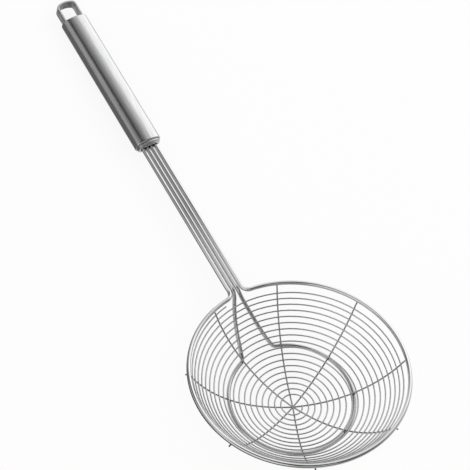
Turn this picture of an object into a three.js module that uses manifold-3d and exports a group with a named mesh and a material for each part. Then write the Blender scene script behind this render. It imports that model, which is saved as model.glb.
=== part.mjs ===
// Spider skimmer: a spiral-wound wire bowl on eight ribs, carried by two bent wires that run as a
// flat four-wire shaft into a hollow oval handle with a hanging loop. Millimetres, +Z up.
//
// The bowl is laid out with its rim in the plane z = 0, its axis on Z and the handle towards +Y.
// The finished tool is then tipped back until it rests on its support ring and on the handle's end.

import * as THREE from 'three';
import { mergeVertices } from 'three/addons/utils/BufferGeometryUtils.js';
import Module from 'manifold-3d';

const wasm = await Module();
wasm.setup();

// Gap left between pieces that touch, are welded or are pressed together.
const CLEARANCE = 0.3;

// Wires.
const FRAME_WIRE = 3.2;
const RIB_WIRE = 1.2;
const SPIRAL_WIRE = 1.1;

// Bowl. The ribs lie below the rim by depth * (1 - (r / rim radius) ^ floor) ^ wall.
const RIM_DIAMETER = 160;
const BOWL_DEPTH = 47.6;
const BOWL_FLOOR = 2.4;
const BOWL_WALL = 0.8;

// Ribs: where each one meets the rim, in degrees anticlockwise from the handle, laid by hand.
const RIB_TURNS = [17.3, 61.3, 108.8, 152.8, 202.7, 246.8, 291.9, 337.3];
const RIB_PROUD = 0.8;
const RIB_BEND = 2.5;

// Spiral: rise along the bowl per turn, where it starts and how far short of the rim it ends.
const SPIRAL_PITCH = 4.7;
const SPIRAL_START = 6.6;
const SPIRAL_START_TURN = -115;
const SPIRAL_EDGE = 3.4;

// Support ring under the bowl and the legs that carry it.
const SUPPORT_RADIUS = 46.1;
const SUPPORT_SHIFT = 3;
const LEG_TURN = 20;
const LEG_BEND = 4.5;
const LEG_KNEE = 6;
const LEG_BOW = 1.3;

// Shaft: the bend of the rim wire into it, its rise from the rim's plane and its free length.
const RIM_BEND = 6;
const SHAFT_FOOT = 3.4;
const SHAFT_RISE = 17.2;
const SHAFT_LENGTH = 133.2;
const SHAFT_INSERT = 26;

// Handle tube: crowned faces, bulged sides and rounded corners.
const HANDLE_LENGTH = 119.4;
const HANDLE_WIDTH = 21.8;
const HANDLE_THICKNESS = 15.6;
const HANDLE_CROWN = 1.3;
const HANDLE_BULGE = 1.2;
const HANDLE_CORNER = 3.2;
const HANDLE_WALL = 1;
const HANDLE_EDGE = 0.8;
const HANDLE_LIFT = 0.9;
const PLUG_DEPTH = 9;
const PLUG_PROUD = 2.2;
const PLUG_ROUND = 1.2;
const PLUG_SLOT = 0.6;
const CAP_DEPTH = 4;
const CAP_RECESS = 1;

// Hanging loop: a flat strip bent to a U with an arched crown, its legs against the tube's sides.
// The strip's edges lie inside the tube's front and back walls by the two insets.
const LOOP_STANDOFF = 16.8;
const LOOP_STRIP = 1.5;
const LOOP_FRONT_INSET = 2.5;
const LOOP_BACK_INSET = 2.5;
const LOOP_LEG = 14;
const LOOP_SHOULDER = 3.6;
const LOOP_ARCH = 22;

// Facets.
const FRAME_SIDES = 8;
const THIN_SIDES = 6;
const SAGITTA = 0.22;
const RIB_STEPS = 16;
const LEG_STEPS = 14;

// Derived sizes.
const RIM_RADIUS = (RIM_DIAMETER - FRAME_WIRE) / 2;
const SHAFT_PITCH = FRAME_WIRE + CLEARANCE;
const OUTER_X = SHAFT_PITCH * 1.5;
const INNER_X = SHAFT_PITCH * 0.5;
const SPIRAL_LIFT = (RIB_WIRE + SPIRAL_WIRE) / 2 + CLEARANCE;
const SUPPORT_DROP = (RIB_WIRE + FRAME_WIRE) / 2 + CLEARANCE;
const UNDER_RIM = -SUPPORT_DROP;
const RISE = THREE.MathUtils.degToRad(SHAFT_RISE);
const SHAFT_Y = RIM_RADIUS + SHAFT_FOOT;
const WIRE_END = SHAFT_LENGTH + SHAFT_INSERT;

const polished = { color: 0xcdd0d2, metalness: 1, roughness: 0.16 };
const brushed = { color: 0xb7b9bb, metalness: 1, roughness: 0.36 };

// A path through given points, so that a swept section passes each of them.
class WirePath extends THREE.Curve {
  constructor(points) {
    super();
    this.points = points;
  }

  getPoint(t, target = new THREE.Vector3()) {
    const place = t * (this.points.length - 1);
    const index = Math.min(Math.floor(place), this.points.length - 2);
    return target.lerpVectors(this.points[index], this.points[index + 1], place - index);
  }

  getPointAt(u, target) {
    return this.getPoint(u, target);
  }

  getTangentAt(u, target = new THREE.Vector3()) {
    const last = this.points.length - 1;
    const index = Math.round(u * last);
    const before = this.points[Math.max(index - 1, 0)];
    const after = this.points[Math.min(index + 1, last)];
    return target.subVectors(after, before).normalize();
  }
}

function sweepWire(points, diameter, sides) {
  const section = new THREE.Shape();
  section.absarc(0, 0, diameter / 2, 0, Math.PI * 2);
  return new THREE.ExtrudeGeometry(section, {
    steps: points.length - 1,
    curveSegments: sides / 2,
    extrudePath: new WirePath(points),
  });
}

function solidOf(geometry) {
  const bare = geometry.clone();
  bare.deleteAttribute('normal');
  bare.deleteAttribute('uv');
  const merged = mergeVertices(bare, 1e-4);
  const mesh = new wasm.Mesh({
    numProp: 3,
    vertProperties: new Float32Array(merged.attributes.position.array),
    triVerts: new Uint32Array(merged.index.array),
  });
  return new wasm.Manifold(mesh);
}

function geometryOf(solid) {
  const mesh = solid.getMesh();
  const geometry = new THREE.BufferGeometry();
  geometry.setAttribute('position', new THREE.BufferAttribute(mesh.vertProperties, 3));
  geometry.setIndex(new THREE.BufferAttribute(mesh.triVerts, 1));
  geometry.computeVertexNormals();
  return geometry;
}

function namedMesh(name, geometry, look) {
  const mesh = new THREE.Mesh(geometry, new THREE.MeshStandardMaterial(look));
  mesh.name = name;
  return mesh;
}

// Bowl profile: height, slope and radius along it, for the middle of the ribs.
function bowlHeight(radius) {
  return -BOWL_DEPTH * Math.max(1 - (radius / RIM_RADIUS) ** BOWL_FLOOR, 0) ** BOWL_WALL;
}

function bowlSlope(radius) {
  const share = radius / RIM_RADIUS;
  const drop = Math.max(1 - share ** BOWL_FLOOR, Number.EPSILON);
  const steepness = (BOWL_DEPTH * BOWL_FLOOR * BOWL_WALL) / RIM_RADIUS;
  return Math.atan(steepness * share ** (BOWL_FLOOR - 1) * drop ** (BOWL_WALL - 1));
}

function bowlRadiusAt(height) {
  return RIM_RADIUS * (1 - (-height / BOWL_DEPTH) ** (1 / BOWL_WALL)) ** (1 / BOWL_FLOOR);
}

// Radius and height of the surface that lies a given distance inside the ribs (outside if negative).
function offsetBowl(radius, inward) {
  const slope = bowlSlope(radius);
  return {
    radius: radius - inward * Math.sin(slope),
    height: bowlHeight(radius) + inward * Math.cos(slope),
  };
}

// Height of the wires that run under the ribs, at a given distance from the bowl's axis.
function supportHeight(radius) {
  let low = 0;
  let high = RIM_RADIUS;
  for (let pass = 0; pass < 40; pass += 1) {
    const middle = (low + high) / 2;
    if (offsetBowl(middle, -SUPPORT_DROP).radius < radius) {
      low = middle;
    } else {
      high = middle;
    }
  }
  return offsetBowl(low, -SUPPORT_DROP).height;
}

// Direction at an angle anticlockwise from the handle, seen from above.
function bowlPoint(radius, angle, height) {
  return new THREE.Vector3(-radius * Math.sin(angle), radius * Math.cos(angle), height);
}

function shaftPoint(x, along) {
  return new THREE.Vector3(x, SHAFT_Y + along * Math.cos(RISE), along * Math.sin(RISE));
}

// Points of a soft corner from one neighbour to the other, starting a given reach from the corner.
function bendPoints(before, corner, after, reach, steps) {
  const start = corner.clone().add(before.clone().sub(corner).setLength(reach));
  const end = corner.clone().add(after.clone().sub(corner).setLength(reach));
  return new THREE.QuadraticBezierCurve3(start, corner, end).getPoints(steps);
}

// Points of a level arc about a centre, between two angles measured from +X.
function arcPoints(centre, radius, from, to) {
  const step = 2 * Math.acos(1 - SAGITTA / Math.max(radius, 4 * SAGITTA));
  const count = Math.max(Math.ceil(Math.abs(to - from) / step), 3);
  const points = [];
  for (let i = 0; i <= count; i += 1) {
    const angle = from + ((to - from) * i) / count;
    points.push(new THREE.Vector3(
      centre.x + radius * Math.cos(angle),
      centre.y + radius * Math.sin(angle),
      centre.z,
    ));
  }
  return points;
}

function mirrored(points) {
  return points.map((point) => new THREE.Vector3(-point.x, point.y, point.z)).reverse();
}

// Rim wire: down the shaft, out round the bend, round the rim and back up on the other side.
// The bend eases out of the rim's plane into the shaft's slope.
function rimWirePoints() {
  const bendY = Math.sqrt((RIM_RADIUS + RIM_BEND) ** 2 - (OUTER_X + RIM_BEND) ** 2);
  const bendCentre = new THREE.Vector3(OUTER_X + RIM_BEND, bendY, 0);
  const touch = Math.atan2(bendCentre.y, bendCentre.x);
  const bend = arcPoints(bendCentre, RIM_BEND, Math.PI, Math.PI + touch);
  const lowest = bend[bend.length - 1].y;
  const ease = 2 * (SHAFT_Y - lowest);
  const foot = [1.5, 1.25].map((share) => new THREE.Vector3(OUTER_X, lowest + ease * share, 0));
  const rising = [...foot, ...bend.filter((point) => point.y < foot[1].y)];
  for (const point of rising) {
    const past = point.y - lowest;
    point.z = Math.tan(RISE) * (past < ease ? past ** 2 / (2 * ease) : past - ease / 2);
  }
  const shaft = [shaftPoint(OUTER_X, WIRE_END), shaftPoint(OUTER_X, WIRE_END / 2)];
  const circle = arcPoints(new THREE.Vector3(), RIM_RADIUS, touch, -Math.PI - touch);
  const side = [...shaft, ...rising];
  return [...side, ...circle.slice(1, -1), ...mirrored(side)];
}

// Support wire: down the shaft, under the bowl to the ring, round the ring and back up.
function supportWirePoints() {
  const ringCentre = new THREE.Vector3(0, SUPPORT_SHIFT, 0);
  const nearHeight = supportHeight(SUPPORT_RADIUS + SUPPORT_SHIFT);
  const farHeight = supportHeight(SUPPORT_RADIUS - SUPPORT_SHIFT);
  const ringHeight = (y) => {
    const share = (y - SUPPORT_SHIFT) / (2 * SUPPORT_RADIUS) + 0.5;
    return farHeight + (nearHeight - farHeight) * share;
  };

  // The ring's bend and the straight leg that touches it, in plan.
  const turn = THREE.MathUtils.degToRad(LEG_TURN);
  const bendCentre = new THREE.Vector3(Math.sin(turn), Math.cos(turn), 0)
    .multiplyScalar(SUPPORT_RADIUS + LEG_BEND)
    .add(ringCentre);
  const legTop = new THREE.Vector3(INNER_X, RIM_RADIUS + SUPPORT_DROP, 0);
  const toTop = legTop.clone().sub(bendCentre);
  const legAngle = Math.atan2(toTop.y, toTop.x) + Math.acos(LEG_BEND / toTop.length());
  const ringAngle = Math.PI * 1.5 - turn;
  const bend = arcPoints(bendCentre, LEG_BEND, legAngle, ringAngle);
  const touch = bend[0];

  // The leg runs under the bowl, bowed outward by up to the leg's bow, and the bend eases from
  // there to the ring's own plane.
  const leg = [];
  for (let i = 0; i <= LEG_STEPS; i += 1) {
    const share = i / LEG_STEPS;
    const point = legTop.clone().lerp(touch, share);
    point.x += LEG_BOW * 6.75 * share * (1 - share) ** 2;
    point.z = supportHeight(Math.hypot(point.x, point.y));
    leg.push(point);
  }
  bend.forEach((point, i) => {
    const share = i / (bend.length - 1);
    const under = supportHeight(Math.hypot(point.x, point.y));
    point.z = under + (ringHeight(point.y) - under) * share;
  });
  const shaftEnd = shaftPoint(INNER_X, WIRE_END);
  const shaftFoot = shaftPoint(INNER_X, 0);
  const knee = leg[0].clone();
  knee.z = shaftFoot.z + (knee.y - shaftFoot.y) * Math.tan(RISE);
  const free = leg.filter((point) => point.distanceTo(knee) > LEG_KNEE);
  const kneeBend = bendPoints(shaftEnd, knee, free[0], LEG_KNEE, 6);
  const side = [
    shaftEnd,
    shaftPoint(INNER_X, WIRE_END / 2),
    ...kneeBend,
    ...free.slice(1),
    ...bend.slice(1),
  ];
  const ring = arcPoints(ringCentre, SUPPORT_RADIUS, Math.PI / 2 - turn, -Math.PI * 1.5 + turn);
  ring.forEach((point) => {
    point.z = ringHeight(point.y);
  });
  return [...side, ...ring.slice(1, -1), ...mirrored(side)];
}

// One rib along +X: from past the hub, up the bowl and out under the rim.
function ribPoints() {
  const cornerRadius = bowlRadiusAt(UNDER_RIM);
  const corner = new THREE.Vector3(cornerRadius, 0, UNDER_RIM);
  const climb = [new THREE.Vector3(-RIB_WIRE, 0, -BOWL_DEPTH)];
  for (let i = 0; i <= RIB_STEPS; i += 1) {
    const radius = (cornerRadius * i) / RIB_STEPS;
    climb.push(new THREE.Vector3(radius, 0, bowlHeight(radius)));
  }
  const free = climb.filter((point) => point.distanceTo(corner) > RIB_BEND * 1.2);
  const tip = new THREE.Vector3(RIM_DIAMETER / 2 + RIB_PROUD, 0, UNDER_RIM);
  const below = free[free.length - 1];
  return [...free, ...bendPoints(below, corner, tip, RIB_BEND, 4), tip];
}

// A wedge that keeps one rib clear of its neighbours, where all of them meet at the hub.
function ribWedge(halfAngle) {
  const reach = RIM_DIAMETER;
  const apex = CLEARANCE / 2 / Math.sin(halfAngle);
  const outline = new THREE.Shape();
  outline.moveTo(apex, 0);
  outline.lineTo(apex + reach, -reach * Math.tan(halfAngle));
  outline.lineTo(apex + reach, reach * Math.tan(halfAngle));
  const wedge = new THREE.ExtrudeGeometry(outline, { depth: 2 * BOWL_DEPTH, bevelEnabled: false });
  return wedge.translate(0, 0, -1.5 * BOWL_DEPTH);
}

function ribMesh(index) {
  const count = RIB_TURNS.length;
  const turn = RIB_TURNS[index];
  const after = (RIB_TURNS[(index + 1) % count] - turn + 360) % 360;
  const before = (turn - RIB_TURNS[(index + count - 1) % count] + 360) % 360;
  const halfAngle = THREE.MathUtils.degToRad(Math.min(after, before) / 2);
  const wire = sweepWire(ribPoints(), RIB_WIRE, THIN_SIDES);
  const rib = solidOf(wire).intersect(solidOf(ribWedge(halfAngle)));
  const mesh = namedMesh(`rib_${index + 1}`, geometryOf(rib), polished);
  mesh.rotation.z = THREE.MathUtils.degToRad(turn + 90);
  return mesh;
}

// Spiral: one wire that climbs the bowl by the same length along it in every turn.
function spiralPoints() {
  const table = [{ length: 0, radius: 0 }];
  const fine = RIM_RADIUS / 400;
  for (let radius = fine; radius <= RIM_RADIUS; radius += fine) {
    const rise = fine / Math.cos(bowlSlope(radius - fine / 2));
    table.push({ length: table[table.length - 1].length + rise, radius });
  }
  const radiusAt = (length) => {
    const upper = table.findIndex((entry) => entry.length >= length);
    const a = table[upper - 1];
    const b = table[upper];
    return a.radius + ((b.radius - a.radius) * (length - a.length)) / (b.length - a.length);
  };
  const end = table[table.length - 1].length - SPIRAL_EDGE;
  const points = [];
  let length = SPIRAL_START;
  let turned = 0;
  while (length < end) {
    const place = offsetBowl(radiusAt(length), SPIRAL_LIFT);
    const angle = THREE.MathUtils.degToRad(SPIRAL_START_TURN) - turned;
    points.push(bowlPoint(place.radius, angle, place.height));
    turned += Math.min(2 * Math.acos(1 - SAGITTA / place.radius), Math.PI / 9);
    length = SPIRAL_START + (SPIRAL_PITCH * turned) / (2 * Math.PI);
  }
  const turns = turned / (2 * Math.PI);
  return { points, turns };
}

// Least gap between the windings, measured on points more than half a turn apart.
function leastGap(points) {
  let least = Infinity;
  points.forEach((point, i) => {
    let along = 0;
    for (let j = i + 1; j < points.length; j += 1) {
      along += points[j].distanceTo(points[j - 1]);
      if (along > Math.PI * Math.hypot(point.x, point.y)) {
        least = Math.min(least, point.distanceTo(points[j]));
      }
    }
  });
  return least - SPIRAL_WIRE;
}

// Handle section: crowned front and back, bulged sides, round corners, drawn in by a given inset.
// The arcs' centres don't move with the inset, so walls cut between two insets are even.
function handleArcs(inset) {
  const corner = HANDLE_CORNER - inset;
  const a = HANDLE_WIDTH / 2 - HANDLE_BULGE - HANDLE_CORNER;
  const b = HANDLE_THICKNESS / 2 - HANDLE_CROWN - HANDLE_CORNER;
  const crownRadius = (a * a + HANDLE_CROWN ** 2) / (2 * HANDLE_CROWN);
  const bulgeRadius = (b * b + HANDLE_BULGE ** 2) / (2 * HANDLE_BULGE);
  return {
    a,
    b,
    corner,
    crown: Math.asin(a / crownRadius),
    bulge: Math.asin(b / bulgeRadius),
    faceRadius: crownRadius + corner,
    faceCentre: b + HANDLE_CROWN - crownRadius,
    sideRadius: bulgeRadius + corner,
    sideCentre: a + HANDLE_BULGE - bulgeRadius,
  };
}

function handleSection(inset) {
  const { a, b, corner, crown, bulge, ...arcs } = handleArcs(inset);
  const quarter = Math.PI / 2;
  const section = new THREE.Shape();
  section.absarc(arcs.sideCentre, 0, arcs.sideRadius, -bulge, bulge);
  section.absarc(a, b, corner, bulge, quarter - crown);
  section.absarc(0, arcs.faceCentre, arcs.faceRadius, quarter - crown, quarter + crown);
  section.absarc(-a, b, corner, quarter + crown, 2 * quarter - bulge);
  section.absarc(-arcs.sideCentre, 0, arcs.sideRadius, 2 * quarter - bulge, 2 * quarter + bulge);
  section.absarc(-a, -b, corner, 2 * quarter + bulge, 3 * quarter - crown);
  section.absarc(0, -arcs.faceCentre, arcs.faceRadius, 3 * quarter - crown, 3 * quarter + crown);
  section.absarc(a, -b, corner, 3 * quarter + crown, 4 * quarter - bulge);
  return section;
}

// Half the width of the section at a height above or below its middle.
function handleHalfWidth(inset, height) {
  const arcs = handleArcs(inset);
  const above = Math.abs(height) - arcs.b - arcs.corner * Math.sin(arcs.bulge);
  if (above > 0) {
    return arcs.a + Math.sqrt(arcs.corner ** 2 - (Math.abs(height) - arcs.b) ** 2);
  }
  return arcs.sideCentre + Math.sqrt(arcs.sideRadius ** 2 - height ** 2);
}

const HANDLE_INSIDE = HANDLE_THICKNESS / 2 - HANDLE_WALL;
const LOOP_FRONT = HANDLE_INSIDE - LOOP_FRONT_INSET;
const LOOP_BACK = LOOP_BACK_INSET - HANDLE_INSIDE;
const LOOP_REACH = Math.min(
  handleHalfWidth(HANDLE_WALL + CLEARANCE, LOOP_FRONT),
  handleHalfWidth(HANDLE_WALL + CLEARANCE, LOOP_BACK),
);

// Extrudes a section along +Y from a given start, with its own Y turned to -Z.
function alongHandle(section, start, length, options) {
  const geometry = new THREE.ExtrudeGeometry(section, {
    depth: length,
    bevelEnabled: false,
    curveSegments: 3,
    ...options,
  });
  return geometry.rotateX(-Math.PI / 2).translate(0, start, 0);
}

function boxAt(width, length, height, x, y, z) {
  return new THREE.BoxGeometry(width, length, height).translate(x, y, z);
}

// A bar of the handle's section, drawn in by an inset, with both ends rounded off.
function roundedBar(inset, start, length, round) {
  return alongHandle(handleSection(inset), start + round, length - 2 * round, {
    bevelEnabled: true,
    bevelThickness: round,
    bevelSize: round,
    bevelOffset: -round,
    bevelSegments: 3,
  });
}

function handleTube() {
  const outer = roundedBar(0, SHAFT_LENGTH, HANDLE_LENGTH, HANDLE_EDGE);
  const inner = alongHandle(handleSection(HANDLE_WALL), SHAFT_LENGTH - 1, HANDLE_LENGTH + 2);
  return geometryOf(solidOf(outer).subtract(solidOf(inner)));
}

// The plug stands proud of the tube with a rounded edge. It has one slot for the row of wires,
// which lies below the handle's middle.
function mouthPlug() {
  const start = SHAFT_LENGTH - PLUG_PROUD;
  const length = PLUG_PROUD + PLUG_DEPTH;
  const body = roundedBar(HANDLE_WALL + CLEARANCE, start, length, PLUG_ROUND);
  const slot = new THREE.Shape();
  const slotRadius = FRAME_WIRE / 2 + PLUG_SLOT;
  slot.absarc(OUTER_X, HANDLE_LIFT, slotRadius, -Math.PI / 2, Math.PI / 2);
  slot.absarc(-OUTER_X, HANDLE_LIFT, slotRadius, Math.PI / 2, Math.PI * 1.5);
  const cut = alongHandle(slot, start - 1, length + 2, { curveSegments: 4 });
  return geometryOf(solidOf(body).subtract(solidOf(cut)));
}

// The cap fills the upper end and is notched for the legs of the loop.
function endCap() {
  const end = SHAFT_LENGTH + HANDLE_LENGTH - CAP_RECESS;
  const middle = end - CAP_DEPTH / 2;
  const body = alongHandle(handleSection(HANDLE_WALL + CLEARANCE), end - CAP_DEPTH, CAP_DEPTH);
  const notchInner = LOOP_REACH - LOOP_STRIP - CLEARANCE;
  const notchHeight = LOOP_FRONT - LOOP_BACK + 2 * CLEARANCE;
  const notchMiddle = (LOOP_FRONT + LOOP_BACK) / 2;
  let cap = solidOf(body);
  for (const side of [-1, 1]) {
    const x = side * (notchInner + HANDLE_WIDTH / 2);
    const notch = boxAt(HANDLE_WIDTH, CAP_DEPTH + 2, notchHeight, x, middle, notchMiddle);
    cap = cap.subtract(solidOf(notch));
  }
  return geometryOf(cap);
}

// Outline of the bent strip's outer side, or of the eye inside it at the strip's depth.
function loopOutline(depth, foot) {
  const half = LOOP_REACH - LOOP_SHOULDER;
  const arch = THREE.MathUtils.degToRad(LOOP_ARCH);
  const crownDrop = half / Math.tan(arch);
  const crownRadius = LOOP_SHOULDER + half / Math.sin(arch);
  const shoulderY = SHAFT_LENGTH + HANDLE_LENGTH + LOOP_STANDOFF + crownDrop - crownRadius;
  const up = Math.PI / 2;
  const outline = new THREE.Shape();
  outline.moveTo(depth - LOOP_REACH, foot);
  outline.lineTo(LOOP_REACH - depth, foot);
  outline.absarc(half, shoulderY, LOOP_SHOULDER - depth, 0, up - arch);
  outline.absarc(0, shoulderY - crownDrop, crownRadius - depth, up - arch, up + arch);
  outline.absarc(-half, shoulderY, LOOP_SHOULDER - depth, up + arch, 2 * up);
  return outline;
}

function hangLoop() {
  const foot = SHAFT_LENGTH + HANDLE_LENGTH - LOOP_LEG;
  const band = LOOP_FRONT - LOOP_BACK;
  const options = { bevelEnabled: false, curveSegments: 4 };
  const block = new THREE.ExtrudeGeometry(loopOutline(0, foot), { ...options, depth: band });
  const eyeOutline = loopOutline(LOOP_STRIP, foot - LOOP_LEG);
  const eye = new THREE.ExtrudeGeometry(eyeOutline, { ...options, depth: 3 * band });
  eye.translate(0, 0, -band);
  return geometryOf(solidOf(block).subtract(solidOf(eye))).translate(0, 0, LOOP_BACK);
}

// Lowest corner of some meshes when the tool is tipped back about X by an angle.
function lowestPoint(meshes, tip) {
  const point = new THREE.Vector3();
  let lowest = Infinity;
  for (const mesh of meshes) {
    const corners = mesh.geometry.attributes.position;
    for (let i = 0; i < corners.count; i += 1) {
      point.fromBufferAttribute(corners, i).applyMatrix4(mesh.matrixWorld);
      lowest = Math.min(lowest, point.z * Math.cos(tip) - point.y * Math.sin(tip));
    }
  }
  return lowest;
}

// Angle at which the front and the rear of the tool touch the table together.
function restingTip(front, rear) {
  let low = 0;
  let high = Math.PI / 3;
  for (let pass = 0; pass < 40; pass += 1) {
    const middle = (low + high) / 2;
    if (lowestPoint(rear, middle) > lowestPoint(front, middle)) {
      low = middle;
    } else {
      high = middle;
    }
  }
  return (low + high) / 2;
}

const rimWire = namedMesh('rim_wire', sweepWire(rimWirePoints(), FRAME_WIRE, FRAME_SIDES), polished);
const supportGeometry = sweepWire(supportWirePoints(), FRAME_WIRE, FRAME_SIDES);
const supportWire = namedMesh('support_wire', supportGeometry, polished);
const spiral = spiralPoints();
const spiralGeometry = sweepWire(spiral.points, SPIRAL_WIRE, THIN_SIDES);
const spiralWire = namedMesh('spiral_wire', spiralGeometry, polished);
const ribs = RIB_TURNS.map((turn, index) => ribMesh(index));
const bowlPieces = [rimWire, supportWire, spiralWire, ...ribs];

// The handle's own frame: Y along the shaft from its foot, Z out of the front face.
const tube = namedMesh('handle_tube', handleTube(), brushed);
const plug = namedMesh('mouth_plug', mouthPlug(), brushed);
const cap = namedMesh('end_cap', endCap(), brushed);
const loop = namedMesh('hang_loop', hangLoop(), brushed);
const handlePieces = [tube, plug, cap, loop];
const handle = new THREE.Group();
handle.position.set(0, SHAFT_Y, 0);
handle.rotation.x = RISE;
const handleCore = new THREE.Group();
handleCore.position.z = HANDLE_LIFT;
handleCore.add(...handlePieces);
handle.add(handleCore);

const tool = new THREE.Group();
tool.add(...bowlPieces, handle);
tool.updateMatrixWorld(true);
const tip = restingTip(bowlPieces, handlePieces);
tool.rotation.x = -tip;
tool.updateMatrixWorld(true);
const box = new THREE.Box3().setFromObject(tool, true);
const middle = box.getCenter(new THREE.Vector3());
tool.position.set(-middle.x, -middle.y, -box.min.z);

console.log(`spiral: ${spiral.turns.toFixed(1)} turns, least gap to itself ${leastGap(spiral.points).toFixed(2)} mm`);

const skimmer = new THREE.Group();
skimmer.add(tool);

export default skimmer;
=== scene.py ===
"""Looks of a spider skimmer: round wires, weld beads, brushed handle, pale studio.

Sizes are in millimetres in the tool's own frame (rim in the plane z = 0, handle towards +Y)
and are carried into the frame of the part, in metres, by to_part.
"""

import math

import bpy
import numpy as np
from mathutils import Matrix, Vector


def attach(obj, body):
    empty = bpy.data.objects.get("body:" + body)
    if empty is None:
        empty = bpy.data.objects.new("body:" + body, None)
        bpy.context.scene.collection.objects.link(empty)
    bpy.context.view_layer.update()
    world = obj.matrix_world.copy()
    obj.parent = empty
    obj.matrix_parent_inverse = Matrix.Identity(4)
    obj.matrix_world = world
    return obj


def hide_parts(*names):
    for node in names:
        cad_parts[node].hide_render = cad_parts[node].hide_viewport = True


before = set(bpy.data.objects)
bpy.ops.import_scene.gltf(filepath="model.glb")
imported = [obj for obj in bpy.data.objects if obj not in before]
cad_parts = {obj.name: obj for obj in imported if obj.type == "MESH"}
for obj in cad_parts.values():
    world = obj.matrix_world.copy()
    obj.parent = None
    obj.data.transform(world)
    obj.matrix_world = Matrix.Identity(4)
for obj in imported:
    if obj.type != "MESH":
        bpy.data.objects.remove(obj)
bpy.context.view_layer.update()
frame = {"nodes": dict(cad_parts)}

bl_info = {
    "name": "Spider skimmer",
    "version": (1, 0, 0),
    "blender": (4, 5, 0),
    "location": "View3D > Sidebar > Skimmer",
    "description": "Builds the wires, welds, handle and studio of a spider skimmer",
    "category": "Object",
}

MM = 0.001

# How the tool lies on the table: tipped back about X, rim centre above the table.
TIP = math.radians(21.15)
RIM_CENTRE = (0.0, -135.5, 53.78)


class Wires:
    """Sizes of the bowl, the frame wires and the shaft in millimetres, and turns in degrees."""

    gap = 0.3
    frame = 3.2
    rib = 1.2
    spiral = 1.1
    rim_radius = 78.4
    depth = 47.6
    floor = 2.4  # power that flattens the bowl's floor
    wall = 0.8  # power that steepens its wall
    rib_turns = (17.3, 61.3, 108.8, 152.8, 202.7, 246.8, 291.9, 337.3)
    rib_proud = 0.8
    rib_bend = 2.5
    rib_clear = 3.0  # from a rib's corner to the last point of its climb
    hub_gap = 0.25  # from the middle of the hub to a rib's first point
    rim_bead = 0.75  # from a rib's middle line up to its weld bead at the rim
    pitch = 4.7
    start = 6.6
    start_turn = -115.0
    edge = 3.4
    ring_radius = 46.1
    ring_shift = 3.0
    leg_turn = 20.0
    leg_bend = 4.5
    knee = 6.0
    leg_bow = 1.3
    rim_bend = 6.0
    foot = 3.4
    rise = math.radians(17.2)
    shaft = 133.2
    insert = 26.0


class Grip:
    """Sizes of the handle tube and its loop in millimetres."""

    length = 119.4
    width = 21.8
    thickness = 15.6
    crown = 1.3
    bulge = 1.2
    corner = 3.2
    wall = 1.0
    edge = 0.8
    lead = 1.0  # from a rounded edge to the first ring of the straight tube
    lip = 0.1  # from an end of the tube to the first ring inside it
    lift = 0.9
    standoff = 16.8
    strip = 1.5
    front_inset = 2.5
    back_inset = 2.5
    leg = 14.0
    shoulder = 3.6
    arch = math.radians(22.0)


class Counts:
    """Points laid along each run of a path or an outline."""

    rim = 400
    rim_bend = 28
    rim_end = 60
    ring = 300
    leg = 90
    leg_bend = 24
    leg_end = 50
    knee = 16
    rib = 90
    rib_bend = 10
    spiral_turn = 72
    bowl_table = 1200
    halvings = 40
    side = 10
    corner = 10
    face = 24
    edge = 7
    tube = 40
    bore = 12
    loop_leg = 24
    loop_shoulder = 14
    loop_crown = 28


SHAFT_Y = Wires.rim_radius + Wires.foot
WIRE_PITCH = Wires.frame + Wires.gap
OUTER_X = WIRE_PITCH * 1.5
INNER_X = WIRE_PITCH * 0.5
SPIRAL_LIFT = (Wires.rib + Wires.spiral) / 2 + Wires.gap
RING_DROP = (Wires.rib + Wires.frame) / 2 + Wires.gap
# Highest value of t (1 - t)^2, the curve by which a leg bows.
BOW_PEAK = 4 / 27
# What keeps the slope finite at the rim.
TINY = 1e-12


# Frames


def to_part(points):
    """Tool frame in millimetres to part frame in metres."""
    p = np.asarray(points, dtype=float)
    c, s = math.cos(TIP), math.sin(TIP)
    out = np.empty_like(p)
    out[:, 0] = p[:, 0] + RIM_CENTRE[0]
    out[:, 1] = p[:, 1] * c + p[:, 2] * s + RIM_CENTRE[1]
    out[:, 2] = -p[:, 1] * s + p[:, 2] * c + RIM_CENTRE[2]
    return out * MM


def handle_to_tool(points):
    """Handle frame (Y along the shaft from its foot, Z out of the front) to tool frame."""
    p = np.asarray(points, dtype=float)
    c, s = math.cos(Wires.rise), math.sin(Wires.rise)
    z = p[:, 2] + Grip.lift
    return np.column_stack([p[:, 0], SHAFT_Y + p[:, 1] * c - z * s, p[:, 1] * s + z * c])


# Paths


def bowl_height(radius):
    """Height of the ribs' middle line below the rim."""
    return -Wires.depth * max(1 - (radius / Wires.rim_radius) ** Wires.floor, 0) ** Wires.wall


def bowl_slope(radius):
    share = radius / Wires.rim_radius
    drop = max(1 - share**Wires.floor, TINY)
    steep = Wires.depth * Wires.floor * Wires.wall / Wires.rim_radius
    return math.atan(steep * share ** (Wires.floor - 1) * drop ** (Wires.wall - 1))


def offset_bowl(radius, inward):
    """Radius and height of a point set off from the bowl at right angles to it."""
    slope = bowl_slope(radius)
    return radius - inward * math.sin(slope), bowl_height(radius) + inward * math.cos(slope)


def support_height(radius):
    """Height at which the support wire lies just under the ribs."""
    low, high = 0.0, Wires.rim_radius
    for _ in range(Counts.halvings):
        middle = (low + high) / 2
        if offset_bowl(middle, -RING_DROP)[0] < radius:
            low = middle
        else:
            high = middle
    return offset_bowl(low, -RING_DROP)[1]


def arc(centre, radius, start, stop, count):
    x, y = centre
    turns = np.linspace(start, stop, count)
    return [(x + radius * math.cos(a), y + radius * math.sin(a), 0.0) for a in turns]


def bezier(a, b, c, count):
    a, b, c = np.array(a), np.array(b), np.array(c)
    steps = np.linspace(0, 1, count)
    return [tuple((1 - t) ** 2 * a + 2 * t * (1 - t) * b + t * t * c) for t in steps]


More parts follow.
